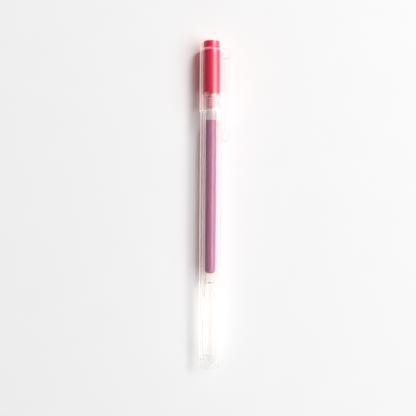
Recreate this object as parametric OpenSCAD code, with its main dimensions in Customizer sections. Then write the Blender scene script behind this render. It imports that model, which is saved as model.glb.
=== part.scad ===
// Capped gel-ink pen, lying on its side.
// Every module draws its piece standing on the pen's own axis, with the tail end at zero,
// and lay_down() turns it so that the axis runs along +Y and the clip leans to the +X side.

/* [Body] */
// Length of the pen with its cap on
total_len = 150; // [149:0.5:151]
// Outside diameter of the barrel where a holder grips it
barrel_d = 10; // [9.9:0.05:10.1]
// Wall thickness of the barrel
barrel_wall = 1.3; // [1.25:0.05:1.35]
// Length of the tail plug outside the barrel
tail_len = 4.4; // [4:0.2:5.2]
// How far the writing ball stands out past the barrel's shoulder
nose_reach = 25.6; // [25.4:0.1:25.8]

/* [Cap] */
// Length of the cap, from its mouth to its crown
cap_len = 32.2; // [31.8:0.2:32.6]
// Outside diameter of the cap shell
cap_d = 10.7; // [10.6:0.05:10.9]
// Wall thickness of the cap shell
cap_wall = 0.93; // [0.9:0.01:0.95]
// Height of the crown above the groove
crown_len = 3.6; // [3.4:0.1:3.8]
// Outside diameter of the coloured inner cap
inner_cap_d = 7.74; // [7.6:0.02:7.8]

/* [Clip] */
// Length of the clip, from its top to its free end
clip_len = 43; // [41:0.5:44]
// Width of the clip
clip_w = 4.4; // [4:0.1:4.8]
// Thickness of the clip at its root
clip_root_t = 2.6; // [2.4:0.1:2.7]
// Thickness of the clip near its free end
clip_tip_t = 1.7; // [1.6:0.1:1.9]
// Open gap between the cap shell and the clip at its root
clip_gap = 0.55; // [0.5:0.05:0.6]

/* [Refill] */
// Length of the refill, from the writing ball to the open end of its tube
refill_len = 110.5; // [109.5:0.5:111.5]
// Outside diameter of the refill tube
refill_d = 5.3; // [5.2:0.05:5.35]
// Wall thickness of the refill tube
refill_wall = 0.45; // [0.4:0.05:0.5]
// Length of the ink column in the tube
ink_len = 70.2; // [20:1:72]
// Diameter of the writing ball
ball_d = 0.5; // [0.48:0.01:0.52]
// Diameter of the check ball that keeps ink from running back
check_ball_d = 2.5; // [2.4:0.05:2.6]

/* [Hidden] */
$fn = 96;

frosted = [0.93, 0.92, 0.91, 0.45];
ink_red = [0.72, 0.05, 0.22];
ink_wine = [0.50, 0.09, 0.26];
steel = [0.72, 0.70, 0.66];

run = 0.03;           // radial clearance of a piece that turns or slides in another
eps = 0.01;

// Radii of the barrel
barrel_r = barrel_d / 2;
bore_r = barrel_r - barrel_wall;
front_r = barrel_r - 0.08;
tail_r = barrel_r - 0.28;

// Stations of the barrel along the axis
shoulder = total_len - cap_len;
seat_start = 40;
seat_end = shoulder - 16;
spigot_len = 5.5;
spigot_end = shoulder + spigot_len;

// The cap's radii, and the spigot that its mouth slides over
cap_r = cap_d / 2;
cap_bore_r = cap_r - cap_wall;
spigot_r = cap_bore_r - 0.12;
inner_cap_r = inner_cap_d / 2;
inner_neck_r = inner_cap_r - 0.12;

// Stations of the cap
cap_mouth = shoulder + 0.08;
crown_base = total_len - crown_len;
groove = 0.45;
shell_top = crown_base - 0.1;
skirt_len = 0.5;
skirt_start = crown_base - skirt_len;
inner_cap_start = shoulder + 8.7;

// The screw thread between the barrel and the nose cone, drawn as rings
thread_pitch = 0.8;
thread_turns = 5;
thread_depth = 0.22;
thread_crest_r = 3.5;                      // crest of the thread cut inside the barrel
thread_start = shoulder + 0.7;
shank_r = thread_crest_r - run;

// The nose cone
refill_r = refill_d / 2;
collar_len = 1.5;
nose_start = spigot_end + 0.05;
cone_start = nose_start + collar_len;
nose_end = shoulder + 22.2;
cone_base_r = 3.15;
cone_tip_r = 1.55;
shank_bore_r = refill_r + 0.1;

// Stations of the refill
ball_end = shoulder + nose_reach;
ball_r = ball_d / 2;
ball_mid = ball_end - ball_r;
refill_start = ball_end - refill_len;
tube_r = refill_r - refill_wall;
tube_end = shoulder;
ink_front = tube_end - 3.9;
ink_back = ink_front - ink_len;
meniscus = 1.0;
follower_len = 4.6;

// The tip holder and the metal tip
chamber_start = shoulder + 1.6;
chamber_r = 2.15;
check_ball_r = check_ball_d / 2;
check_ball_mid = chamber_start + 2.2;
holder_taper = shoulder + 6.0;
holder_neck = shoulder + 10.3;
holder_end = shoulder + 12.7;
holder_neck_r = 1.65;
tip_start = shoulder + 9.2;
tip_r = 1.15;
tip_bore_r = 0.6;

// The seal in the top of the inner cap
seal_pocket_r = 1.75;
seal_start = ball_end + 0.15;
seal_end = seal_start + 2.6;

// The clip: its inner and outer faces as distances from the pen's axis
clip_in = cap_r + clip_gap;
clip_out = clip_in + clip_root_t;
clip_tip_in = clip_in + 0.55;
clip_tip_out = clip_tip_in + clip_tip_t;
clip_top = shell_top + 1.2;
clip_end = clip_top - clip_len;
clip_root = shell_top - 3.2;
clip_slit = 0.06;                          // hairline between the root and the arm that flexes
clip_round = 0.5;
nub_at = clip_end + 1.9;
nub_r = 1.3;
// The clip turns down until its rounded lower corner meets the surface that the cap lies on
corner_x = clip_out - clip_round;
corner_y = clip_w / 2 - clip_round;
clip_angle = asin((cap_r - clip_round) / norm([corner_x, corner_y])) - atan(corner_y / corner_x);

// Turns a piece from its own axis to where it lies
module lay_down() rotate([-90, 0, 0]) children();

// A turned piece: points are [radius, station] pairs
module turned(points) lay_down() rotate_extrude() polygon(points);

// Points of a quarter-round edge about centre c, from angle a0 to angle a1
function round_edge(c, r, a0, a1, n = 6) =
  [for (i = [0:n]) let (a = a0 + (a1 - a0) * i / n) [c[0] + r * cos(a), c[1] + r * sin(a)]];

// Points of the thread's rings, from the first station up: crest, root, root, crest
function thread_points(crest, root, from) = [
  for (i = [0:thread_turns - 1], k = [0:3])
    [k == 0 || k == 3 ? crest : root, from + thread_pitch * (i + [0.05, 0.3, 0.6, 0.85][k])]
];
function reversed(list) = [for (i = [len(list) - 1:-1:0]) list[i]];

// Frosted tube with a plain seat for a holder, a slight draft at both ends and a spigot for the cap
module barrel() {
  vent_w = 0.5;
  vent_len = 2.2;
  thread = thread_points(thread_crest_r, thread_crest_r + thread_depth, thread_start);
  color(frosted) difference() {
    turned(concat(
      [
        [bore_r, tail_len],
        [tail_r - 0.15, tail_len],
        [tail_r, tail_len + 0.15],
        [barrel_r, seat_start],
        [barrel_r, seat_end],
        [front_r, shoulder - 0.25],
        [front_r - 0.25, shoulder],
        [spigot_r, shoulder],
        [spigot_r, spigot_end - 0.3],
        [spigot_r - 0.3, spigot_end],
        [thread_crest_r, spigot_end]
      ],
      reversed(thread),
      [
        [thread_crest_r, shoulder - 0.6],
        [bore_r, shoulder - 1.2]
      ]
    ));
    // Air slot beside the tail plug, a little off the top
    lay_down() rotate([0, 0, -112]) translate([bore_r - 0.4, -vent_w / 2, tail_len - 1])
      cube([3, vent_w, vent_len + 1]);
  }
}

// Cone that screws into the barrel and steadies the metal tip
module nose_cone() {
  thread = thread_points(shank_r, shank_r + thread_depth - 0.02, thread_start);
  lip = 0.25;
  color(frosted) turned(concat(
    [[shank_bore_r, shoulder - 0.4], [shank_r, shoulder - 0.4]],
    thread,
    [
      [shank_r, nose_start],
      [spigot_r - 0.35, nose_start],
      [spigot_r - 0.1, nose_start + 0.25],
      [spigot_r - 0.1, cone_start - 0.25],
      [spigot_r - 0.35, cone_start],
      [cone_base_r, cone_start],
      [cone_tip_r, nose_end - lip]
    ],
    round_edge([cone_tip_r - lip, nose_end - lip], lip, 0, 90, 4),
    [
      [tip_r + 0.05, nose_end],
      [tip_r + 0.05, holder_end + 0.3],
      [holder_neck_r + 0.1, holder_end + 0.1],
      [holder_neck_r + 0.1, holder_neck + 0.15],
      [shank_bore_r, holder_taper + 0.15]
    ]
  ));
}

// Plug pressed into the barrel's tail, with a hollow stem that stops the refill
module tail_plug() {
  shell_t = 0.85;
  end_t = 1.2;
  edge = 0.8;
  end_r = tail_r - 0.85;
  skirt_end = tail_len + 5;
  stem_r = 1.8;
  stem_bore_r = 1.1;
  cup_start = refill_start - 9.6;
  cup_r = refill_r - 0.05;
  cup_end = refill_start - 0.15;
  slot_w = 0.8;
  color(frosted) difference() {
    turned(concat(
      [[0, 0]],
      round_edge([end_r - edge, edge], edge, -90, 0),
      [
        [tail_r - 0.55, tail_len],
        [bore_r, tail_len],
        [bore_r, skirt_end - 0.4],
        [bore_r - 0.3, skirt_end],
        [bore_r - shell_t, skirt_end],
        [bore_r - shell_t, end_t],
        [stem_r, end_t],
        [stem_r, cup_start],
        [cup_r, cup_start + 0.8],
        [cup_r, cup_end - 0.3],
        [cup_r - 0.3, cup_end],
        [tube_r - 0.2, cup_end],
        [stem_bore_r, cup_end - 1.6],
        [stem_bore_r, end_t + 0.6],
        [0, end_t]
      ]
    ));
    // Cross slots, so that air always reaches the open end of the refill
    for (a = [0, 90])
      lay_down() rotate([0, 0, a]) translate([-refill_r, -slot_w / 2, cup_end - 0.7])
        cube([refill_d, slot_w, 2]);
  }
}

// Frosted outer shell of the cap, with the root of the clip
module cap_shell() {
  bead = 0.08;
  lead = 0.3;
  bridge_w = 3.4;
  color(frosted) union() {
    turned([
      [cap_bore_r + 0.2, cap_mouth],
      [cap_r - 0.15, cap_mouth],
      [cap_r, cap_mouth + 0.15],
      [cap_r, shell_top - groove],
      [cap_r - groove, shell_top],
      [cap_bore_r, shell_top],
      [cap_bore_r, cap_mouth + 2.1],
      [cap_bore_r - bead, cap_mouth + 1.8],
      [cap_bore_r - bead, cap_mouth + 1.1],
      [cap_bore_r, cap_mouth + 0.8],
      [cap_bore_r, cap_mouth + lead]
    ]);
    clip_place() {
      clip_bar(clip_root + clip_slit / 2, clip_top);
      // Bridge from the shell to the clip
      translate([cap_r - 0.4, -bridge_w / 2, clip_root + clip_slit / 2])
        cube([clip_gap + 0.9, bridge_w, shell_top - groove - clip_root - clip_slit / 2]);
    }
  }
}

// Frosted ring that closes the cap and grips the neck of the inner cap
module cap_crown() {
  edge = 0.7;
  outer_r = cap_r - 0.05;
  notch_w = 1.1;
  notch_t = 0.35;
  color(frosted) difference() {
    turned(concat(
      [
        [inner_neck_r, skirt_start],
        [cap_bore_r - 0.25, skirt_start],
        [cap_bore_r, skirt_start + 0.25],
        [cap_bore_r, crown_base - 0.1],
        [outer_r - groove, crown_base - 0.1],
        [outer_r, crown_base + groove - 0.1]
      ],
      round_edge([outer_r - edge, total_len - edge], edge, 0, 90),
      [[inner_neck_r, total_len]]
    ));
    // Notches that let air through between the shell and the inner cap
    for (a = [-147, -27, 93])
      lay_down() rotate([0, 0, a]) {
        translate([cap_bore_r - notch_t, -notch_w / 2, skirt_start - 1]) cube([1, notch_w, skirt_len + 1.15]);
        translate([cap_bore_r - notch_t, -notch_w / 2, crown_base - 0.2]) cube([2, notch_w, 0.35]);
      }
  }
}

// Coloured inner cap, closed at the top, that covers the nose
module inner_cap() {
  mouth_chamfer = 0.25;
  bore_end = nose_end + 0.5;
  dish = 0.3;
  color(ink_red) turned([
    [0, seal_end + 0.05],
    [seal_pocket_r, seal_end + 0.05],
    [seal_pocket_r, bore_end + 0.4],
    [cone_tip_r + 0.5, bore_end],
    [cone_base_r + 0.2, inner_cap_start + mouth_chamfer],
    [cone_base_r + 0.2 + mouth_chamfer, inner_cap_start],
    [inner_cap_r - 0.12, inner_cap_start],
    [inner_cap_r, inner_cap_start + 0.12],
    [inner_cap_r, skirt_start - 0.35],
    [inner_neck_r, skirt_start - 0.05],
    [inner_neck_r, total_len - 0.1],
    [inner_neck_r - 0.25, total_len - 0.1],
    [inner_neck_r - 0.25 - dish, total_len - 0.1 - dish],
    [0, total_len - 0.1 - dish]
  ]);
}

// Soft pad that the ball closes on when the cap is home
module tip_seal() {
  dimple_r = 0.9;
  color([0.85, 0.83, 0.80]) turned([
    [0, seal_start + 0.35],
    [dimple_r, seal_start],
    [seal_pocket_r - run - 0.2, seal_start],
    [seal_pocket_r - run, seal_start + 0.2],
    [seal_pocket_r - run, seal_end],
    [0, seal_end]
  ]);
}

// Puts a shape drawn on the +X side of the axis where the clip is
module clip_place() lay_down() rotate([0, 0, clip_angle]) children();

// Distance of the clip's inner and outer faces from the axis at a station
function clip_share(z) = max(0, (clip_root - z) / (clip_root - nub_at));
function clip_inner(z) = clip_in + (clip_tip_in - clip_in) * clip_share(z);
function clip_outer(z) = clip_out + (clip_tip_out - clip_out) * clip_share(z);

// The clip's outline seen from its side, between two stations
module clip_side(from, to) polygon([
  [clip_inner(from), from],
  [clip_outer(from), from],
  [clip_outer(to), to],
  [clip_inner(to), to]
]);

// A stretch of the clip with its long outer corners rounded
module clip_bar(from, to) intersection() {
  translate([0, clip_w / 2, 0]) rotate([90, 0, 0]) linear_extrude(clip_w) clip_side(from, to);
  union() {
    translate([0, -clip_w / 2, from]) cube([corner_x, clip_w, to - from]);
    translate([0, -corner_y, from]) cube([clip_out + 1, 2 * corner_y, to - from]);
    for (side = [-1, 1])
      translate([corner_x, side * corner_y, from]) cylinder(r = clip_round, h = to - from);
  }
}

// The clip's arm, cored out on its inner face, with the nub that presses on the barrel
module clip() {
  core_w = 2.2;
  core_t = 0.9;
  color(frosted) clip_place() {
    difference() {
      clip_bar(clip_end, clip_root - clip_slit / 2);
      translate([clip_in - 1, -core_w / 2, nub_at + 3.4])
        cube([1 + core_t, core_w, clip_root - nub_at - 6]);
      // Rounded free end
      translate([0, clip_w, clip_end]) rotate([90, 0, 0]) linear_extrude(2 * clip_w) difference() {
        translate([clip_tip_in - 1, -1]) square([4, 1 + clip_tip_t / 2]);
        translate([(clip_tip_in + clip_tip_out) / 2, clip_tip_t / 2]) circle(r = clip_tip_t / 2 + 0.02);
      }
    }
    // The nub's round back just touches the barrel
    intersection() {
      translate([barrel_r + nub_r, clip_w * 0.35, nub_at]) rotate([90, 0, 0])
        cylinder(r = nub_r, h = clip_w * 0.7);
      translate([0, -clip_w, nub_at - 3]) cube([clip_tip_in + 0.3, 2 * clip_w, 6]);
    }
  }
}

// Clear tube that holds the ink
module refill_tube() color([0.9, 0.9, 0.9, 0.4]) turned([
  [tube_r, refill_start],
  [refill_r, refill_start],
  [refill_r, tube_end],
  [tube_r, tube_end]
]);

// Station of the ink's rounded end at a distance x from the axis
function ink_end(x) = ink_back + meniscus * (1 - sqrt(max(0, 1 - pow(x / tube_r, 2))));

// The ink in the tube, rounded at the end that the follower wets
module ink_column() {
  dome = [for (i = [0:12]) let (x = tube_r * sin(90 * i / 12)) [x, ink_end(x)]];
  color(ink_wine) turned(concat(dome, [[tube_r, ink_front], [0, ink_front]]));
}

// Clear grease that follows the ink and keeps air off it
module ink_follower() {
  r = tube_r - run;
  cup = [for (i = [12:-1:0]) let (x = r * sin(90 * i / 12)) [x, ink_end(x) - 0.06]];
  color([0.93, 0.88, 0.86, 0.5]) turned(concat(
    [[0, ink_back - follower_len + 0.6], [0.8 * r, ink_back - follower_len + 0.35], [r, ink_back - follower_len]],
    cup
  ));
}

// Milky piece that joins the metal tip to the tube
module tip_holder() {
  channel_r = 0.5;
  color([0.92, 0.91, 0.90, 0.6]) turned([
    [channel_r, ink_front],
    [tube_r - 0.15, ink_front],
    [tube_r, ink_front + 0.3],
    [tube_r, tube_end],
    [refill_r, tube_end],
    [refill_r, holder_taper],
    [holder_neck_r, holder_neck],
    [holder_neck_r, holder_end],
    [tip_r, holder_end],
    [tip_r, tip_start],
    [0.8, tip_start],
    [0.8, tip_start - 0.6],
    [chamber_r, holder_taper + 0.2],
    [chamber_r, chamber_start + 0.4],
    [channel_r, chamber_start]
  ]);
}

// Loose ball in the holder's chamber that keeps ink from running back
module check_ball() color([0.80, 0.80, 0.82]) lay_down()
  translate([0, 0, check_ball_mid]) sphere(r = check_ball_r);

// The ink that stands in the holder's channel and chamber, round the check ball
module holder_ink() {
  channel_r = 0.5;
  color(ink_red) difference() {
  turned([
    [0, ink_front],
    [channel_r, ink_front],
    [channel_r, chamber_start],
    [chamber_r, chamber_start + 0.4],
    [chamber_r, holder_taper + 0.2],
    [0.8, tip_start - 0.6],
    [0.8, tip_start],
    [0, tip_start]
  ]);
  lay_down() translate([0, 0, check_ball_mid]) sphere(r = check_ball_r + run);
  }
}

// Metal tip, with the socket for the ball at its end
module writing_tip() {
  socket_r = ball_r + 0.012;
  mouth = ball_mid + 0.08;
  throat_r = 0.12;
  color(steel) turned([
    [tip_bore_r, tip_start],
    [tip_r - 0.1, tip_start],
    [tip_r, tip_start + 0.1],
    [tip_r, ball_end - 2.7],
    [0.45, ball_end - 0.5],
    [socket_r + 0.06, mouth],
    [socket_r, mouth],
    [socket_r, ball_mid - 0.23],
    [throat_r, ball_mid - 0.4],
    [throat_r, ball_mid - 1.15],
    [tip_bore_r, ball_mid - 2.35]
  ]);
}

// The ball that lays the ink on the paper
module tip_ball() color([0.35, 0.35, 0.37]) lay_down() translate([0, 0, ball_mid]) sphere(r = ball_r);

// A vector of unit length
function unit(v) = v / norm(v);

// The spring's centre line: a helix that closes to the axis and ends in a straight pin
spring_r = 0.42;
spring_start = tip_start + 1;
spring_coil_end = ball_mid - 4.2;
spring_turns = 11;
spring_steps = 14;
spring_close = 10;
spring_pin_end = ball_mid - ball_r - 0.02;
function spring_coil(i) =
  let (n = spring_turns * spring_steps, a = 360 * i / spring_steps)
  [spring_r * cos(a), spring_r * sin(a), spring_start + (spring_coil_end - spring_start) * i / n];
function spring_inward(i) =
  let (s = i / spring_close, a = 180 * s)
  [spring_r * (1 - s) * cos(a), spring_r * (1 - s) * sin(a), spring_coil_end + 1.4 * s];
function spring_path() = concat(
  [for (i = [0:spring_turns * spring_steps]) spring_coil(i)],
  [for (i = [1:spring_close]) spring_inward(i)],
  [[0, 0, spring_coil_end + 1.9], [0, 0, spring_pin_end]]
);

// A wire of a given radius swept along a path
module wire(path, r, sides = 8) {
  n = len(path);
  ring = [
    for (i = [0:n - 1])
      let (
        t = unit(path[min(i + 1, n - 1)] - path[max(i - 1, 0)]),
        side = unit(cross(t, [0.31, 0.21, 0.93])),
        up = cross(side, t)
      )
      for (k = [0:sides - 1])
        let (a = 360 * k / sides) path[i] + r * (cos(a) * side + sin(a) * up)
  ];
  walls = [
    for (i = [0:n - 2], k = [0:sides - 1])
      let (j = (k + 1) % sides)
      [i * sides + k, (i + 1) * sides + k, (i + 1) * sides + j, i * sides + j]
  ];
  ends = [
    [for (k = [0:sides - 1]) k],
    [for (k = [sides - 1:-1:0]) (n - 1) * sides + k]
  ];
  polyhedron(points = ring, faces = concat(walls, ends), convexity = 6);
}

// Fine spring inside the metal tip, whose pin keeps the ball on its seat
module tip_spring() color(steel) lay_down() wire(spring_path(), 0.06);

barrel();
nose_cone();
tail_plug();
cap_shell();
cap_crown();
inner_cap();
tip_seal();
clip();
refill_tube();
ink_column();
ink_follower();
tip_holder();
holder_ink();
check_ball();
writing_tip();
tip_ball();
tip_spring();
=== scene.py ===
# %% [markdown]
# # A capped gel-ink pen with a frosted, see-through body
#
# The pen is a nest of turned plastic: a frosted barrel round a clear refill, and a frosted cap
# round a crimson inner cap. Nearly everything that gives it its look happens inside its walls.
# So this lesson builds each wall as a closed shell with an inside and an outside, and lets
# the light go through.
#
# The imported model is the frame: it says where each piece goes and which body it moves with.

# %% Load the frame
import math

import bmesh
import bpy
from mathutils import Matrix, Vector


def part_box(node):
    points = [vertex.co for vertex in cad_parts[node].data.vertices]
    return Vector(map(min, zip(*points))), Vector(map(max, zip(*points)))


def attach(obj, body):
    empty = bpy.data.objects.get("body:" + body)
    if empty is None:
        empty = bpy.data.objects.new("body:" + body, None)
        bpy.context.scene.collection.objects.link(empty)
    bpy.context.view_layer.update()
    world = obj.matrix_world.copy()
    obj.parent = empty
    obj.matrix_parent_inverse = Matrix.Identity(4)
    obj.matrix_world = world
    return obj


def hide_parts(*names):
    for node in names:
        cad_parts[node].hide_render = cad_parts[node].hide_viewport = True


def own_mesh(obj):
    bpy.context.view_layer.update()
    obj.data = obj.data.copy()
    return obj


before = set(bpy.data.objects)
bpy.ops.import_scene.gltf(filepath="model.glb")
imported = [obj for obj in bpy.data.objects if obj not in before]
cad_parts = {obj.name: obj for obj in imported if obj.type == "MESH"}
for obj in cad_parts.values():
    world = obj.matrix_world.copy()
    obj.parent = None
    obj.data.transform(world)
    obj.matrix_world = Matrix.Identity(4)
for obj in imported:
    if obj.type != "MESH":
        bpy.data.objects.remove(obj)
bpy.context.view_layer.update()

# %% [markdown]
# ## Camera
#
# The pen lies on a table and is seen from straight above, from about a hand's length away, so
# the far ends of the cap and the tail show as slight curves. A wide lens close by gives
# that bow; a long lens from far off would show a flat strip. The camera is turned by less than
# half a degree, because the pen isn't quite square to the picture.

# %% The camera above the pen
MM = 0.001
TABLE_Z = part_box("cap_shell")[0][2]
VIEW_HEIGHT = 271.4 * MM
VIEW_CENTRE = (-1.12 * MM, 73.6 * MM)
FRAME_WIDTH = 191.36 * MM
SENSOR_WIDTH = 36.0
CAMERA_TURN = math.radians(0.44)

camera_data = bpy.data.cameras.new("pen_camera")
camera_data.sensor_width = SENSOR_WIDTH
camera_data.lens = SENSOR_WIDTH * VIEW_HEIGHT / FRAME_WIDTH
camera_data.clip_start = 5 * MM
camera = bpy.data.objects.new("pen_camera", camera_data)
camera.location = (*VIEW_CENTRE, VIEW_HEIGHT)
camera.rotation_euler = (0, 0, CAMERA_TURN)
bpy.context.scene.collection.objects.link(camera)
bpy.context.scene.camera = camera
print(f"lens {camera_data.lens:.1f} mm, {VIEW_HEIGHT * 1000:.0f} mm above the axis")

# %% [markdown]
# ## Reading the frame's measures
#
# Each station along the pen is read from the boxes of the CAD nodes, so that a changed part
# still fits. Only the fine steps inside a piece, such as a chamfer, are given here.


# %% Stations and radii from the frame
def ends(node):
    """The low and high end of a node along the pen's axis."""
    low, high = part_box(node)
    return low[1], high[1]


def radius_of(node):
    """Half the height of a round node's box."""
    low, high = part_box(node)
    return (high[2] - low[2]) / 2


TAIL, CROWN = ends("tail_plug")[0], ends("cap_crown")[1]
BARREL_START, SPIGOT_END = ends("barrel")
MOUTH = ends("cap_shell")[0]
SHOULDER = MOUTH - 0.08 * MM
GRIP_R = radius_of("barrel")
CAP_R = radius_of("cap_crown") + 0.05 * MM
SHELL_TOP = CROWN - 3.7 * MM
INNER_START = ends("inner_cap")[0]
INNER_R = radius_of("inner_cap")
REFILL_START, REFILL_END = ends("refill_tube")
REFILL_R = radius_of("refill_tube")
INK_BACK, INK_FRONT = ends("ink_column")
NOSE_END = ends("nose_cone")[1]
TIP_START = ends("writing_tip")[0]
BALL_END = ends("tip_ball")[1]
print(f"pen {1000 * (CROWN - TAIL):.1f} mm long, mouth of the cap at {1000 * MOUTH:.2f} mm")

# %% [markdown]
# ## Turning a piece
#
# On a lathe a shape is an outline and a spindle. The same works here: an outline is drawn as a
# wire beside the pen's axis, its corners are rounded, and it is spun once round. A plain
# cylinder with its ends moved about would do for a tube, but it can't hold the small radii at
# the rims, and the rims are what catch the light on clear plastic.
#
# An outline is a list of (radius, station, rounding). A wall's outline is a closed loop; a solid
# piece's outline starts and ends on the axis.


# %% The lathe
STEPS = 128
SAME_SPOT = 1e-7
WIDE_ROUNDING = 0.2 * MM


def only(piece):
    """Selects one object and makes it the active one."""
    bpy.ops.object.select_all(action="DESELECT")
    piece.select_set(True)
    bpy.context.view_layer.objects.active = piece


def pick(piece, test, mode="VERT"):
    """In edit mode, selects the vertices, edges or faces that a test is true for."""
    bpy.ops.mesh.select_mode(type=mode)
    bpy.ops.mesh.select_all(action="DESELECT")
    mesh = bmesh.from_edit_mesh(piece.data)
    parts = {"VERT": mesh.verts, "EDGE": mesh.edges, "FACE": mesh.faces}[mode]
    parts.ensure_lookup_table()
    for part in parts:
        if test(part):
            part.select = True
    mesh.select_flush_mode()
    bmesh.update_edit_mesh(piece.data)


def draw_outline(name, points, closed):
    """Draws an outline as a wire: one vertex, extruded from point to point."""
    bpy.ops.object.select_all(action="DESELECT")
    bpy.ops.mesh.primitive_circle_add(vertices=3, radius=MM, location=(0, 0, 0))
    piece = bpy.context.object
    piece.name = piece.data.name = name
    bpy.ops.object.mode_set(mode="EDIT")
    bpy.ops.mesh.select_all(action="SELECT")
    bpy.ops.mesh.merge(type="CENTER")
    here = Vector((0, 0, 0))
    for number, (radius, station, _) in enumerate(points):
        step = Vector((radius, station, 0)) - here
        if number == 0:
            bpy.ops.transform.translate(value=step)
        else:
            bpy.ops.mesh.extrude_region_move(TRANSFORM_OT_translate={"value": step})
        here += step
    if closed:
        pick(piece, lambda v: v.index in (0, len(points) - 1))
        bpy.ops.mesh.edge_face_add()
    return piece


def round_corners(piece, points):
    """Rounds the outline's corners, one rounding size at a time."""
    sizes = sorted({size for _, _, size in points if size}, reverse=True)
    corners = {size: [Vector((r, z, 0)) for r, z, s in points if s == size] for size in sizes}
    for size in sizes:
        spots = corners[size]
        pick(piece, lambda v: any((v.co - spot).length < SAME_SPOT for spot in spots))
        segments = 5 if size > WIDE_ROUNDING else 3
        bpy.ops.mesh.bevel(offset=size, segments=segments, affect="VERTICES")


def turn(name, points, closed=True, steps=STEPS):
    """Spins an outline round the pen's axis into a closed piece."""
    piece = draw_outline(name, points, closed)
    round_corners(piece, points)
    bpy.ops.mesh.select_all(action="SELECT")
    bpy.ops.mesh.spin(steps=steps, angle=2 * math.pi, center=(0, 0, 0), axis=(0, 1, 0))
    bpy.ops.mesh.select_all(action="SELECT")
    bpy.ops.mesh.remove_doubles(threshold=SAME_SPOT)
    bpy.ops.mesh.normals_make_consistent(inside=False)
    bpy.ops.object.mode_set(mode="OBJECT")
    soften(piece)
    print(f"{name}: {len(piece.data.polygons)} faces")
    return piece


def soften(piece, degrees=32):
    """Shades a piece smooth, but keeps edges sharper than an angle."""
    only(piece)
    bpy.ops.object.shade_smooth_by_angle(angle=math.radians(degrees))


def carve(piece, tool, operation="DIFFERENCE"):
    """Cuts a tool out of a piece, or joins it on, and takes the tool away."""
    only(piece)
    cut = piece.modifiers.new("carve", "BOOLEAN")
    cut.operation, cut.solver, cut.object = operation, "EXACT", tool
    bpy.ops.object.modifier_apply(modifier=cut.name)
    bpy.data.objects.remove(tool, do_unlink=True)
    soften(piece)
    return piece


def block(low, high, roll=0.0):
    """A box between two corners, (radial, station, sideways), rolled about the axis."""
    middle = [(a + b) / 2 for a, b in zip(low, high)]
    size = [b - a for a, b in zip(low, high)]
    bpy.ops.object.select_all(action="DESELECT")
    bpy.ops.mesh.primitive_cube_add(size=1, location=middle, scale=size)
    piece = bpy.context.object
    bpy.ops.object.transform_apply(location=True, rotation=True, scale=True)
    if roll:
        only(piece)
        # With no window the turn goes the other way, so its sign is changed here
        bpy.ops.transform.rotate(value=-roll, orient_axis="Y", center_override=(0, 0, 0))
        bpy.ops.object.transform_apply(location=True, rotation=True, scale=True)
    return piece


# %% [markdown]
# ## Shader maths in words
#
# A material's pattern is worked out by Math nodes. Written node by node, that is hard to read,
# so one small class wraps a socket and lets + - and * add the nodes. Any other node comes
# from its add method.


# %% A socket that can be reckoned with
class Socket:
    """Wraps an output socket, so that a sum of sockets adds its Math nodes."""

    def __init__(self, tree, output=None):
        self.tree, self.output = tree, output

    def add(self, kind, out=0, settings=None, **inputs):
        """Adds a node, sets its settings, then its sockets, and wraps an output.

        A socket is given by name, or as i0, i1 and so on where names repeat.
        """
        node = self.tree.nodes.new(kind)
        for key, value in (settings or {}).items():
            setattr(node, key, value)
        for key, value in inputs.items():
            place = int(key[1:]) if key[1:].isdigit() else key.replace("_", " ")
            self.join(node.inputs[place], value)
        return Socket(self.tree, node.outputs[out])

    def join(self, socket, value):
        """Links a wrapped socket, or sets a plain value."""
        if isinstance(value, Socket):
            self.tree.links.new(value.output, socket)
        else:
            socket.default_value = value

    def maths(self, operation, first, second=0.0, clamp=False):
        """A Math node on two sockets or numbers."""
        return self.add("ShaderNodeMath", settings={"operation": operation, "use_clamp": clamp},
                        i0=first, i1=second)

    def __add__(self, other): return self.maths("ADD", self, other)
    def __radd__(self, other): return self.maths("ADD", other, self)
    def __rsub__(self, other): return self.maths("SUBTRACT", other, self)
    def __mul__(self, other): return self.maths("MULTIPLY", self, other)
    def __rmul__(self, other): return self.maths("MULTIPLY", other, self)

    def clamp(self):
        """This value, held between 0 and 1."""
        return self.maths("ADD", self, 0.0, clamp=True)

    def between(self, first, second):
        """A colour between two, by this share."""
        return self.add("ShaderNodeMix", out=2, settings={"data_type": "RGBA"},
                        i0=self, i6=first, i7=second)


def new_material(name):
    """An empty material and its first wrapped socket."""
    material = bpy.data.materials.new(name)
    material.use_nodes = True
    material.node_tree.nodes.clear()
    return material, Socket(material.node_tree)


def finish_material(material, node, surface):
    """Joins a shader to the material's output."""
    output = node.tree.nodes.new("ShaderNodeOutputMaterial")
    node.join(output.inputs["Surface"], surface)
    return material


def along(node, scale):
    """Object coordinates, scaled along each axis, in millimetres."""
    place = node.add("ShaderNodeTexCoord", out="Object")
    return node.add("ShaderNodeMapping", Vector=place, Scale=[1000 * s for s in scale])


def dress(piece, material):
    """Gives a piece its material."""
    piece.data.materials.clear()
    piece.data.materials.append(material)
    return piece


# %% [markdown]
# ## Frosted plastic
#
# The barrel and cap are polypropylene from a finely blasted mould. Seen square on, such a wall
# is almost clear. Seen aslant, it turns milky, so every tube gets bright, soft sides. And the
# blasting spreads a lamp's image into a broad, pale band. So the wall is mixed from three
# things: a clear share, a milk that glows from both sides and grows towards the rim,
# and a wide gloss on top. A plain glass shader would be too clean, and a white plastic would
# hide the refill.
#
# A tube also carries light round inside its wall, so that the side away from the lamp glows.
# The milk's share of light from behind is raised for that. And a shadow would be too heavy if
# the haze held back a lamp's light as it holds back sight, so it holds back only a part of it.


# %% Frosted, clear and milky plastic
GRAIN_DEPTH = 0.02 * MM
THICKEST_HAZE = 0.85


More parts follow.
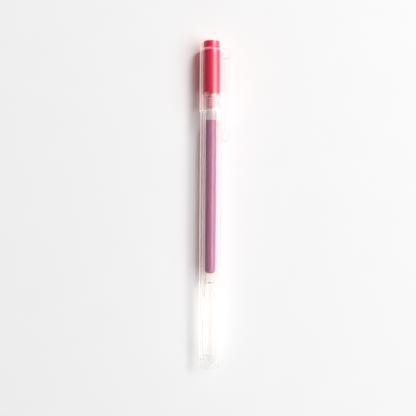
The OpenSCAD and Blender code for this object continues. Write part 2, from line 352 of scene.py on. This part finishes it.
def skin_maps(node, grain):
    """The slow unevenness of moulded plastic, and the blasted grain as a bump."""
    blasted = node.add("ShaderNodeTexNoise", Vector=along(node, (1, 1, 1)), Scale=7.0, Detail=3.0)
    flow = node.add("ShaderNodeTexNoise", Vector=along(node, (0.5, 0.06, 0.5)),
                    Scale=1.0, Detail=2.0)
    bump = node.add("ShaderNodeBump", Height=blasted, Strength=0.12 * grain, Distance=GRAIN_DEPTH)
    return flow, bump


def frosted(name, tint, rough, milk, rim, gloss, passed=(0.992, 0.988, 0.986), grain=0.2,
            thick=None, piped=1.6, cast=0.3):
    """Frosted wall.

    milk is its haze seen square on, and rim the haze that is added at its sides. passed is the
    colour that the clear share lets through. thick is a station and the haze that is added
    behind it. piped is how much more light comes through the milk than off it, and cast is the
    share of the haze that holds back a lamp's light.
    """
    material, node = new_material(name)
    flow, bump = skin_maps(node, grain)
    aslant = node.add("ShaderNodeLayerWeight", out="Facing", Blend=0.5)
    square = aslant * aslant
    steep = square * square
    lamp = node.add("ShaderNodeLightPath", out="Is Shadow Ray")
    dimmed = 1 - (1 - cast) * lamp
    haze = milk * (0.8 + 0.4 * flow) + rim * steep
    if thick:
        station, more = thick
        haze = haze + more * behind(node, station)
    haze = node.maths("MINIMUM", haze, THICKEST_HAZE)
    clear = node.add("ShaderNodeBsdfTransparent", Color=[*passed, 1])
    lit = node.add("ShaderNodeBsdfDiffuse", Color=[*tint, 1], Normal=bump)
    glow = node.add("ShaderNodeBsdfTranslucent", Color=[c * piped for c in tint] + [1], Normal=bump)
    milky = node.add("ShaderNodeMixShader", i0=0.5, i1=lit, i2=glow)
    wall = node.add("ShaderNodeMixShader", i0=haze * dimmed, i1=clear, i2=milky)
    shine = node.add("ShaderNodeBsdfGlossy", Roughness=rough - 0.03 + 0.06 * flow, Normal=bump)
    sheen = gloss * (1 + 4 * steep) * dimmed
    surface = node.add("ShaderNodeMixShader", i0=sheen, i1=wall, i2=shine)
    return finish_material(material, node, surface)


def behind(node, station):
    """1 behind a station on the pen's axis, 0 in front of it, with half a millimetre between."""
    place = node.add("ShaderNodeTexCoord", out="Object")
    height = node.add("ShaderNodeSeparateXYZ", out="Y", Vector=place)
    return ((station - height) * (1 / (0.5 * MM)) + 0.5).clamp()


def clear_resin(name, tint, rough, ior, shade):
    """Clear plastic that bends light; shade is what a lamp's light keeps of its colour."""
    material, node = new_material(name)
    flow, bump = skin_maps(node, 0.2)
    plastic = node.add(
        "ShaderNodeBsdfPrincipled", Base_Color=[*tint, 1], Roughness=rough - 0.01 + 0.02 * flow,
        Normal=bump, Transmission_Weight=1.0, IOR=ior)
    clear = node.add("ShaderNodeBsdfTransparent", Color=[*shade, 1])
    lamp = node.add("ShaderNodeLightPath", out="Is Shadow Ray")
    bounced = node.add("ShaderNodeLightPath", out="Is Diffuse Ray")
    open_way = node.maths("MAXIMUM", lamp, bounced)
    surface = node.add("ShaderNodeMixShader", i0=open_way, i1=plastic, i2=clear)
    return finish_material(material, node, surface)


CAP_FROST = frosted(
    "cap_frost", (0.52, 0.505, 0.50), rough=0.34, milk=0.003, rim=3.8, gloss=0.068,
    passed=(0.985, 0.976, 0.973), piped=4.4)
CLIP_FROST = frosted(
    "clip_frost", (0.62, 0.60, 0.595), rough=0.36, milk=0.01, rim=0.4, gloss=0.004, piped=1.0)
BARREL_FROST = frosted(
    "barrel_frost", (0.52, 0.51, 0.505), rough=0.34, milk=0.06, rim=2.8, gloss=0.018,
    passed=(0.988, 0.984, 0.982), piped=3.4, cast=0.35)
PLUG_FROST = frosted(
    "plug_frost", (0.60, 0.59, 0.58), rough=0.45, milk=0.004, rim=0.2, gloss=0.002,
    passed=(0.996, 0.996, 0.996), grain=0.03)
HOLDER_MILK = frosted(
    "holder_milk", (0.66, 0.655, 0.64), rough=0.38, milk=0.04, rim=2.0, gloss=0.02,
    thick=(SHOULDER + 1.2 * MM, 0.8), piped=1.2)
GREASE_CLEAR = frosted(
    "grease_clear", (0.64, 0.61, 0.53), rough=0.25, milk=0.05, rim=0.8, gloss=0.012,
    passed=(0.985, 0.98, 0.955), piped=1.2, grain=0.03)
TUBE_CLEAR = clear_resin(
    "tube_clear", (0.98, 0.98, 0.98), rough=0.06, ior=1.12, shade=(0.97, 0.97, 0.97))


# %% Crimson inner cap, ink, grease, seal and metal
def moulded(name, colour, rough, shade=None, share=0.0, soft=0.0):
    """Coloured plastic or ink.

    share of a lamp's light goes through, tinted by shade, and soft is how much of it spreads
    under the skin.
    """
    material, node = new_material(name)
    flow = node.add("ShaderNodeTexNoise", Vector=along(node, (0.4, 0.05, 0.4)),
                    Scale=1.0, Detail=3.0)
    fine = node.add("ShaderNodeTexNoise", Vector=along(node, (1, 1, 1)), Scale=4.0, Detail=2.0)
    deep = [c * 0.86 for c in colour] + [1]
    bump = node.add("ShaderNodeBump", Height=fine, Strength=0.06, Distance=GRAIN_DEPTH)
    body = node.add(
        "ShaderNodeBsdfPrincipled",
        Base_Color=flow.between(deep, [*colour, 1]),
        Roughness=rough - 0.04 + 0.08 * fine,
        Normal=bump,
        Subsurface_Weight=soft,
        Subsurface_Radius=(3.0 * MM, 0.5 * MM, 0.8 * MM),
        Subsurface_Scale=1.0,
        Specular_IOR_Level=0.4,
        IOR=1.49,
    )
    if not shade:
        return finish_material(material, node, body)
    clear = node.add("ShaderNodeBsdfTransparent", Color=[*shade, 1])
    lamp = node.add("ShaderNodeLightPath", out="Is Shadow Ray")
    surface = node.add("ShaderNodeMixShader", i0=lamp * share, i1=body, i2=clear)
    return finish_material(material, node, surface)


CRIMSON = moulded("inner_cap_crimson", (0.88, 0.001, 0.085), rough=0.34,
                  shade=(0.95, 0.14, 0.12), share=0.55, soft=0.8)
WINE_INK = moulded("wine_ink", (0.44, 0.11, 0.26), rough=0.30,
                   shade=(0.80, 0.35, 0.25), share=0.48, soft=0.7)
PINK_INK = moulded("holder_ink_pink", (0.85, 0.12, 0.22), rough=0.35,
                   shade=(0.85, 0.5, 0.5), share=0.6)
SEAL_SOFT = moulded("seal_soft", (0.75, 0.72, 0.68), rough=0.6)

RING_DEPTH = 0.01 * MM


def turned_metal(name, colour, rough):
    """Metal from a lathe, with fine rings from the tool."""
    material, node = new_material(name)
    rings = node.add("ShaderNodeTexNoise", Vector=along(node, (0.3, 30, 0.3)),
                     Scale=1.0, Detail=2.0)
    bump = node.add("ShaderNodeBump", Height=rings, Strength=0.15, Distance=RING_DEPTH)
    metal = node.add("ShaderNodeBsdfPrincipled", Base_Color=[*colour, 1], Metallic=1.0,
                     Roughness=rough + 0.12 * rings, Normal=bump)
    return finish_material(material, node, metal)


TIP_METAL = turned_metal("tip_metal", (0.72, 0.69, 0.64), rough=0.22)
BALL_METAL = turned_metal("ball_metal", (0.42, 0.42, 0.45), rough=0.08)
print("materials:", len(bpy.data.materials))

# %% [markdown]
# ## The barrel
#
# The barrel is one frosted tube, parallel along its middle, a little slimmer towards both ends
# so that it leaves its mould. Its front end steps down to a spigot, where the cap's mouth slides
# on, and it has a thread inside for the nose cone. A small slot at the tail lets air in behind
# the refill.


# %% Barrel
def ridges(crest, root, start, pitch, count):
    """Points of a thread drawn as rings, each with four corners within its pitch."""
    points = []
    for turn_number in range(count):
        for radius, share in ((crest, 0.05), (root, 0.3), (root, 0.6), (crest, 0.85)):
            points.append((radius, start + pitch * (turn_number + share), 0))
    return points


BORE_R = GRIP_R - 1.3 * MM
TAIL_R = GRIP_R - 0.28 * MM
FRONT_R = GRIP_R - 0.08 * MM
SPIGOT_R = CAP_R - 1.05 * MM
THREAD_R = 3.5 * MM
THREAD_START = SHOULDER + 0.7 * MM
PITCH, TURNS = 0.8 * MM, 5
AIR_SLOT_ROLL = math.radians(-112)

barrel = turn("barrel_tube", [
    (BORE_R, BARREL_START, 0.1 * MM),
    (TAIL_R, BARREL_START, 0.25 * MM),
    (GRIP_R, 40 * MM, 0),
    (GRIP_R, SHOULDER - 16 * MM, 0),
    (FRONT_R, SHOULDER, 0.25 * MM),
    (SPIGOT_R, SHOULDER, 0.1 * MM),
    (SPIGOT_R, SPIGOT_END, 0.3 * MM),
    (THREAD_R, SPIGOT_END, 0.1 * MM),
    *reversed(ridges(THREAD_R, THREAD_R + 0.22 * MM, THREAD_START, PITCH, TURNS)),
    (THREAD_R, SHOULDER - 0.6 * MM, 0.1 * MM),
    (BORE_R, SHOULDER - 1.2 * MM, 0.1 * MM),
])
air_slot = block((BORE_R - 0.4 * MM, BARREL_START - MM, -0.25 * MM),
                 (BORE_R + 2.6 * MM, BARREL_START + 2.2 * MM, 0.25 * MM), roll=AIR_SLOT_ROLL)
carve(barrel, air_slot)
dress(barrel, BARREL_FROST)
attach(barrel, "barrel")
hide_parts("barrel")

# %% [markdown]
# ## Tail plug
#
# The plug closes the tail. Its end is a little dome-edged cup, its skirt is pressed into the
# barrel, and a long stem reaches forward to the refill and stops it from sliding back. A cross
# cut into the stem's front end lets air past.

# %% Tail plug
PLUG_R = TAIL_R - 0.85 * MM
CUP_END = REFILL_START - 0.15 * MM
CUP_START = REFILL_START - 9.6 * MM
SKIRT_END = BARREL_START + 5 * MM
plug = turn("tail_plug_body", [
    (0, TAIL, 0),
    (PLUG_R, TAIL, 0.8 * MM),
    (TAIL_R - 0.55 * MM, BARREL_START, 0),
    (BORE_R - 0.01 * MM, BARREL_START, 0),
    (BORE_R - 0.01 * MM, SKIRT_END, 0.3 * MM),
    (BORE_R - 0.85 * MM, SKIRT_END, 0.1 * MM),
    (BORE_R - 0.85 * MM, TAIL + 1.2 * MM, 0.3 * MM),
    (1.8 * MM, TAIL + 1.2 * MM, 0.3 * MM),
    (1.8 * MM, CUP_START, 0.3 * MM),
    (REFILL_R - 0.05 * MM, CUP_START + 0.8 * MM, 0.3 * MM),
    (REFILL_R - 0.05 * MM, CUP_END, 0.25 * MM),
    (2.0 * MM, CUP_END, 0.1 * MM),
    (1.1 * MM, CUP_END - 1.6 * MM, 0.3 * MM),
    (1.1 * MM, TAIL + 1.8 * MM, 0),
    (0, TAIL + 1.2 * MM, 0),
], closed=False)
for turned_by in (0, 90):
    carve(plug, block((-REFILL_R, CUP_END - 0.7 * MM, -0.4 * MM),
                      (REFILL_R, CUP_END + 1.3 * MM, 0.4 * MM), roll=math.radians(turned_by)))
dress(plug, PLUG_FROST)
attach(plug, "barrel")
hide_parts("tail_plug")

# %% [markdown]
# ## The refill
#
# The refill is a clear tube, full of wine-red gel from the holder down to a rounded end, with
# clear grease behind it. Ink wets the tube's wall, and the wall bends light so that the ink
# seems to fill the tube right out to its skin. So the ink's skin lies just inside the wall's
# plastic: with a gap of air between, it would look like a thin rod in a wide tube.
#
# As the ink is used up its column shortens, and the grease follows. Both have flat faces where
# they meet, so that neither cuts into the other on the way.

# %% Tube, ink and grease
TUBE_R = REFILL_R - 0.45 * MM
tube = turn("refill_tube_wall", [
    (TUBE_R, REFILL_START, 0.1 * MM),
    (REFILL_R, REFILL_START, 0.1 * MM),
    (REFILL_R, REFILL_END, 0.1 * MM),
    (TUBE_R, REFILL_END, 0.1 * MM),
])
dress(tube, TUBE_CLEAR)
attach(tube, "barrel")
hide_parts("refill_tube")

WET_R = TUBE_R + 0.02 * MM
ink = turn("ink_in_tube", [
    (0, INK_BACK, 0),
    (WET_R, INK_BACK, 1.3 * MM),
    (WET_R, INK_FRONT - 0.02 * MM, 0),
    (0, INK_FRONT - 0.02 * MM, 0),
], closed=False)
dress(ink, WINE_INK)
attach(ink, "barrel")
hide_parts("ink_column")
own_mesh(ink)

GREASE_BACK = ends("ink_follower")[0]
grease = turn("follower_grease", [
    (0, GREASE_BACK + 0.6 * MM, 0),
    (TUBE_R - 0.03 * MM, GREASE_BACK, 0.1 * MM),
    (TUBE_R - 0.03 * MM, INK_BACK - 0.05 * MM, 0.1 * MM),
    (0, INK_BACK - 0.05 * MM, 0),
], closed=False)
dress(grease, GREASE_CLEAR)
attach(grease, "follower")
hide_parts("ink_follower")

# %% [markdown]
# ## The front of the refill
#
# A milky holder joins the tube to the metal tip. Ink stands in its chamber round a loose check
# ball, and the metal tip carries the writing ball. All of this is out of sight while
# the cap is on, but it comes to light when the cap is pulled off.

# %% Holder, its ink and the metal tip
CHAMBER = SHOULDER + 1.6 * MM
TAPER = SHOULDER + 6.0 * MM
NECK = SHOULDER + 10.3 * MM
HOLDER_END = ends("tip_holder")[1]
TIP_R = radius_of("writing_tip")
FEED_R = 0.5 * MM
CHANNEL_R = 0.8 * MM
holder = turn("tip_holder_body", [
    (FEED_R, INK_FRONT, 0),
    (TUBE_R, INK_FRONT, 0.1 * MM),
    (TUBE_R, REFILL_END + 0.01 * MM, 0),
    (REFILL_R, REFILL_END + 0.01 * MM, 0.1 * MM),
    (REFILL_R, TAPER, 0.3 * MM),
    (1.65 * MM, NECK, 0.3 * MM),
    (1.65 * MM, HOLDER_END, 0.25 * MM),
    (TIP_R, HOLDER_END, 0),
    (TIP_R, TIP_START, 0),
    (CHANNEL_R, TIP_START, 0),
    (CHANNEL_R, TIP_START - 0.6 * MM, 0),
    (2.15 * MM, TAPER + 0.2 * MM, 0.2 * MM),
    (2.15 * MM, CHAMBER + 0.4 * MM, 0.1 * MM),
    (FEED_R, CHAMBER, 0),
])
dress(holder, HOLDER_MILK)
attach(holder, "barrel")
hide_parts("tip_holder")

holder_ink = turn("ink_in_holder", [
    (0, INK_FRONT, 0),
    (FEED_R, INK_FRONT, 0),
    (FEED_R, CHAMBER, 0),
    (2.16 * MM, CHAMBER + 0.4 * MM, 0.1 * MM),
    (2.16 * MM, TAPER + 0.2 * MM, 0.2 * MM),
    (CHANNEL_R, TIP_START - 0.6 * MM, 0),
    (CHANNEL_R, TIP_START, 0),
    (0, TIP_START, 0),
], closed=False)
dress(holder_ink, PINK_INK)
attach(holder_ink, "barrel")
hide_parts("holder_ink")

BALL_MID = BALL_END - radius_of("tip_ball")
SOCKET_R = 0.262 * MM
THROAT_R = 0.12 * MM
tip = turn("writing_tip_body", [
    (0.6 * MM, TIP_START, 0),
    (TIP_R, TIP_START, 0.1 * MM),
    (TIP_R, BALL_END - 2.7 * MM, 0.15 * MM),
    (0.45 * MM, BALL_END - 0.5 * MM, 0.1 * MM),
    (0.32 * MM, BALL_MID + 0.08 * MM, 0),
    (SOCKET_R, BALL_MID + 0.08 * MM, 0),
    (SOCKET_R, BALL_MID - 0.23 * MM, 0),
    (THROAT_R, BALL_MID - 0.4 * MM, 0),
    (THROAT_R, BALL_MID - 1.15 * MM, 0),
    (0.6 * MM, BALL_MID - 2.35 * MM, 0),
], steps=96)
dress(tip, TIP_METAL)
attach(tip, "barrel")
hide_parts("writing_tip")

# %% [markdown]
# ## Balls and spring
#
# The two balls and the fine spring are already exact in the CAD model, so they keep their meshes
# and only get a finish.

# %% Finish the balls and the spring
CAD_FINISH = {"tip_ball": BALL_METAL, "check_ball": BALL_METAL, "tip_spring": TIP_METAL}
for node, metal in CAD_FINISH.items():
    dress(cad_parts[node], metal)

# %% [markdown]
# ## Nose cone
#
# The nose cone screws into the barrel's front and steadies the metal tip. Its collar shows
# through the cap as a faint ring below the crimson inner cap.

# %% Nose cone
NOSE_START = SPIGOT_END + 0.05 * MM
CONE_START = NOSE_START + 1.5 * MM
SHANK_R = THREAD_R - 0.03 * MM
NOSE_BORE_R = REFILL_R + 0.1 * MM
nose = turn("nose_cone_body", [
    (NOSE_BORE_R, SHOULDER - 0.4 * MM, 0.1 * MM),
    (SHANK_R, SHOULDER - 0.4 * MM, 0.1 * MM),
    *ridges(SHANK_R, SHANK_R + 0.2 * MM, THREAD_START, PITCH, TURNS),
    (SHANK_R, NOSE_START, 0),
    (SPIGOT_R - 0.1 * MM, NOSE_START, 0.25 * MM),
    (SPIGOT_R - 0.1 * MM, CONE_START, 0.25 * MM),
    (3.15 * MM, CONE_START, 0.15 * MM),
    (1.55 * MM, NOSE_END, 0.25 * MM),
    (TIP_R + 0.05 * MM, NOSE_END, 0),
    (TIP_R + 0.05 * MM, HOLDER_END + 0.3 * MM, 0),
    (1.75 * MM, HOLDER_END + 0.1 * MM, 0),
    (1.75 * MM, NECK + 0.15 * MM, 0.3 * MM),
    (NOSE_BORE_R, TAPER + 0.15 * MM, 0.3 * MM),
])
dress(nose, CAP_FROST)
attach(nose, "nose")
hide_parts("nose_cone")

# %% [markdown]
# ## Crimson inner cap and its seal
#
# The inner cap is a thimble of crimson plastic. It is the one strong colour on the pen, and it
# ends in a sharp line about a quarter of the way up from the cap's mouth.

# %% Inner cap and seal
SEAL_START, SEAL_END = ends("tip_seal")
SKIRT = SHELL_TOP - 0.4 * MM
NECK_R = INNER_R - 0.12 * MM
inner_cap = turn("inner_cap_thimble", [
    (0, SEAL_END + 0.05 * MM, 0),
    (1.75 * MM, SEAL_END + 0.05 * MM, 0.1 * MM),
    (1.75 * MM, NOSE_END + 0.9 * MM, 0.1 * MM),
    (2.05 * MM, NOSE_END + 0.5 * MM, 0.1 * MM),
    (3.35 * MM, INNER_START + 0.25 * MM, 0.1 * MM),
    (3.6 * MM, INNER_START, 0),
    (INNER_R, INNER_START, 0.12 * MM),
    (INNER_R, SKIRT - 0.35 * MM, 0.1 * MM),
    (NECK_R, SKIRT - 0.05 * MM, 0.1 * MM),
    (NECK_R, CROWN - 0.1 * MM, 0.1 * MM),
    (NECK_R - 0.25 * MM, CROWN - 0.1 * MM, 0.05 * MM),
    (NECK_R - 0.55 * MM, CROWN - 0.4 * MM, 0.1 * MM),
    (0, CROWN - 0.4 * MM, 0),
], closed=False)
dress(inner_cap, CRIMSON)
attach(inner_cap, "cap")
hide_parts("inner_cap")

seal = turn("tip_seal_pad", [
    (0, SEAL_START + 0.35 * MM, 0),
    (0.9 * MM, SEAL_START, 0),
    (1.72 * MM, SEAL_START, 0.2 * MM),
    (1.72 * MM, SEAL_END, 0.1 * MM),
    (0, SEAL_END, 0),
], closed=False)
dress(seal, SEAL_SOFT)
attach(seal, "seal")
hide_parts("tip_seal")

# %% [markdown]
# ## Cap shell and crown
#
# The shell is an open frosted tube, and the crown is a ring let into its top. Between the two
# runs a small V-shaped groove, which reads as one dark line and one bright one. Both of
# its sides are real chamfers here, because a bump wouldn't bend the light as they do. Three
# notches are cut into the crown's hidden skirt, at even thirds of a turn.

# %% Cap shell
CAP_BORE_R = CAP_R - 0.93 * MM
GROOVE = 0.45 * MM
shell = turn("cap_shell_tube", [
    (CAP_BORE_R + 0.2 * MM, MOUTH, 0.05 * MM),
    (CAP_R, MOUTH, 0.15 * MM),
    (CAP_R, SHELL_TOP - GROOVE, 0.08 * MM),
    (CAP_R - GROOVE, SHELL_TOP, 0.05 * MM),
    (CAP_BORE_R, SHELL_TOP, 0.05 * MM),
    (CAP_BORE_R, MOUTH + 2.1 * MM, 0),
    (CAP_BORE_R - 0.08 * MM, MOUTH + 1.8 * MM, 0),
    (CAP_BORE_R - 0.08 * MM, MOUTH + 1.1 * MM, 0),
    (CAP_BORE_R, MOUTH + 0.8 * MM, 0),
    (CAP_BORE_R, MOUTH + 0.3 * MM, 0),
])

# %% Crown
RING_R = CAP_R - 0.05 * MM
NOTCH_ROLLS = (-147, -27, 93)
crown = turn("cap_crown_ring", [
    (NECK_R + 0.01 * MM, SKIRT, 0.05 * MM),
    (CAP_BORE_R - 0.02 * MM, SKIRT, 0.25 * MM),
    (CAP_BORE_R - 0.02 * MM, SHELL_TOP + 0.01 * MM, 0),
    (RING_R - GROOVE, SHELL_TOP + 0.01 * MM, 0.05 * MM),
    (RING_R, SHELL_TOP + GROOVE, 0.1 * MM),
    (RING_R, CROWN, 0.75 * MM),
    (NECK_R + 0.01 * MM, CROWN, 0.1 * MM),
])
for degrees in NOTCH_ROLLS:
    carve(crown, block((CAP_BORE_R - 0.35 * MM, SKIRT - MM, -0.55 * MM),
                       (CAP_BORE_R + 1.65 * MM, SHELL_TOP + 0.25 * MM, 0.55 * MM),
                       roll=math.radians(degrees)))
dress(crown, CAP_FROST)
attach(crown, "cap")
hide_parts("cap_crown")

# %% [markdown]
# ## Clip
#
# The clip is a long, slim bar that springs from a short bridge near the crown. It gets thinner
# towards its free end, where a rounded nub rests on the barrel. It starts as a box, its lower end
# is drawn out and narrowed, and its long edges are rounded. It is modelled straight out
# to the side and then rolled to where the pen rests on it. A hairline slit parts the arm from its
# root, so that the arm can lift.

# %% Clip arm, its root and the bridge
CLIP_TURN = math.radians(24.374)
CLIP_W = 4.4 * MM
CLIP_DEPTH, CLIP_NUB_DEPTH = 2.6 * MM, 1.7 * MM
CLIP_LEAN = 0.55 * MM
CLIP_EDGE = 0.5 * MM
CLIP_IN = CAP_R + 0.55 * MM
CLIP_OUT = CLIP_IN + CLIP_DEPTH
HALF_SLIT = 0.03 * MM
CLIP_END = ends("clip")[0]
CLIP_ROOT = ends("clip")[1] + HALF_SLIT
CLIP_TOP = SHELL_TOP + 1.2 * MM
NUB_AT = CLIP_END + 1.9 * MM
NUB_R = 1.3 * MM
NEAR = 1e-6


def bar(name, start, stop):
    """A box with the clip's section, between two stations."""
    piece = block((CLIP_IN, start, -CLIP_W / 2), (CLIP_OUT, stop, CLIP_W / 2))
    piece.name = piece.data.name = name
    return piece


def narrow(piece, inner, outer, station):
    """Moves the vertices at a station to a new inner and outer face."""
    bpy.ops.object.mode_set(mode="EDIT")
    for radius, goal in ((CLIP_IN, inner), (CLIP_OUT, outer)):
        pick(piece, lambda v: abs(v.co.y - station) < NEAR and abs(v.co.x - radius) < NEAR)
        bpy.ops.transform.translate(value=(goal - radius, 0, 0))
    bpy.ops.object.mode_set(mode="OBJECT")


def round_long_edges(piece):
    """Rounds the outer edges that run along the clip."""
    bpy.ops.object.mode_set(mode="EDIT")
    pick(piece, lambda e: abs(e.verts[0].co.y - e.verts[1].co.y) > MM
         and min(v.co.x for v in e.verts) > CLIP_IN + 1.2 * MM, "EDGE")
    bpy.ops.mesh.bevel(offset=CLIP_EDGE, segments=6, affect="EDGES", clamp_overlap=True)
    bpy.ops.object.mode_set(mode="OBJECT")


def roll_to_place(piece):
    """Rolls a finished piece about the pen's axis to where the clip is."""
    piece.data.transform(Matrix.Rotation(CLIP_TURN, 4, "Y"))
    soften(piece)
    return piece


arm = bar("clip_arm", CLIP_END, CLIP_ROOT - HALF_SLIT)
# The nub's station sets the taper, and the arm's end lies a little beyond it
beyond = (CLIP_ROOT - CLIP_END) / (CLIP_ROOT - NUB_AT)
narrow(arm, CLIP_IN + CLIP_LEAN * beyond,
       CLIP_OUT + (CLIP_LEAN + CLIP_NUB_DEPTH - CLIP_DEPTH) * beyond, CLIP_END)
round_long_edges(arm)
print("clip arm:", len(arm.data.polygons), "faces")

# %% Nub and core of the arm
core = block((CLIP_IN - MM, NUB_AT + 3.4 * MM, -1.1 * MM),
             (CLIP_IN + 0.9 * MM, CLIP_ROOT - 2.6 * MM, 1.1 * MM))
carve(arm, core)
bpy.ops.object.select_all(action="DESELECT")
bpy.ops.mesh.primitive_cylinder_add(vertices=48, radius=NUB_R, depth=CLIP_W * 0.7,
                                    location=(GRIP_R + NUB_R, NUB_AT, 0))
nub = bpy.context.object
bpy.ops.object.transform_apply(location=True, rotation=True, scale=True)
bpy.ops.object.mode_set(mode="EDIT")
pick(nub, lambda f: abs(f.normal.z) > 0.9, "FACE")
bpy.ops.mesh.inset(thickness=0.15 * MM)
bpy.ops.mesh.select_all(action="SELECT")
bpy.ops.mesh.bisect(plane_co=(CLIP_IN + 0.9 * MM, 0, 0), plane_no=(1, 0, 0),
                    clear_outer=True, use_fill=True)
bpy.ops.object.mode_set(mode="OBJECT")
carve(arm, nub, "UNION")
roll_to_place(arm)
dress(arm, CLIP_FROST)
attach(arm, "clip")
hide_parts("clip")

root = bar("clip_root", CLIP_ROOT, CLIP_TOP)
round_long_edges(root)
bridge = block((CAP_R - 0.4 * MM, CLIP_ROOT, -1.7 * MM),
               (CLIP_IN + 0.4 * MM, SHELL_TOP - GROOVE, 1.7 * MM))
carve(root, bridge, "UNION")
roll_to_place(root)
carve(shell, root, "UNION")
dress(shell, CAP_FROST)
# The faces outside the round shell are the clip's root, and get the arm's clearer finish
shell.data.materials.append(CLIP_FROST)
for face in shell.data.polygons:
    if math.hypot(face.center.x, face.center.z) > CAP_R + 0.05 * MM:
        face.material_index = 1
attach(shell, "cap")
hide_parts("cap_shell")

# %% [markdown]
# ## Table and light
#
# A pale table and two lamps: a small one high on the upper right, which throws the soft shadow,
# and a large, near window on the right, which lays the band of light along the plastic. The
# room itself is dim and even. It only looks brighter to the camera, so that a low view has a
# pale backdrop behind the pen.
#
# A ray that crosses the pen meets many see-through skins, so the limit on these is raised.

# %% Table
bpy.ops.object.select_all(action="DESELECT")
bpy.ops.mesh.primitive_plane_add(size=12, location=(0, 0, TABLE_Z))
table = bpy.context.object
table.name = "table"
paper, paper_node = new_material("table_paper")
grain = paper_node.add("ShaderNodeTexNoise", Vector=along(paper_node, (0.05, 0.05, 0.05)),
                       Scale=1.0, Detail=4.0)
finish_material(paper, paper_node, paper_node.add(
    "ShaderNodeBsdfPrincipled", Roughness=0.85,
    Base_Color=grain.between([0.88, 0.875, 0.87, 1], [0.9, 0.9, 0.9, 1])))
dress(table, paper)

# %% Lamps and room
AIM = Vector((0, VIEW_CENTRE[1], 0))


def lamp(name, direction, distance, size, power, colour):
    """A rectangular soft lamp, aimed at the middle of the pen."""
    data = bpy.data.lights.new(name, "AREA")
    data.shape, data.size, data.size_y = "RECTANGLE", size[0], size[1]
    data.energy, data.color = power, colour
    light = bpy.data.objects.new(name, data)
    away = Vector(direction).normalized()
    light.location = AIM + away * distance
    light.rotation_euler = away.to_track_quat("Z", "Y").to_euler()
    bpy.context.scene.collection.objects.link(light)
    return light


lamp("key_lamp", direction=(0.80, 0.90, 1.0), distance=4.0, size=(0.77, 0.77),
     power=110.0, colour=(1.0, 0.985, 0.97))
lamp("long_window", direction=(0.95, -0.08, 1.0), distance=2.2, size=(1.6, 1.4),
     power=36.0, colour=(0.97, 0.98, 1.0))

ROOM_LIGHT, BACKDROP_LIGHT = 0.12, 0.74
world = bpy.data.worlds.new("pale_room")
world.use_nodes = True
world.node_tree.nodes.clear()
room = Socket(world.node_tree)
seen = room.add("ShaderNodeLightPath", out="Is Camera Ray")
backdrop = room.add("ShaderNodeBackground", Color=[0.97, 0.97, 0.965, 1],
                    Strength=ROOM_LIGHT + BACKDROP_LIGHT * seen)
world_output = world.node_tree.nodes.new("ShaderNodeOutputWorld")
room.join(world_output.inputs["Surface"], backdrop)
bpy.context.scene.world = world
bpy.context.scene.view_settings.view_transform = "Standard"
bpy.context.scene.cycles.transparent_max_bounces = 64
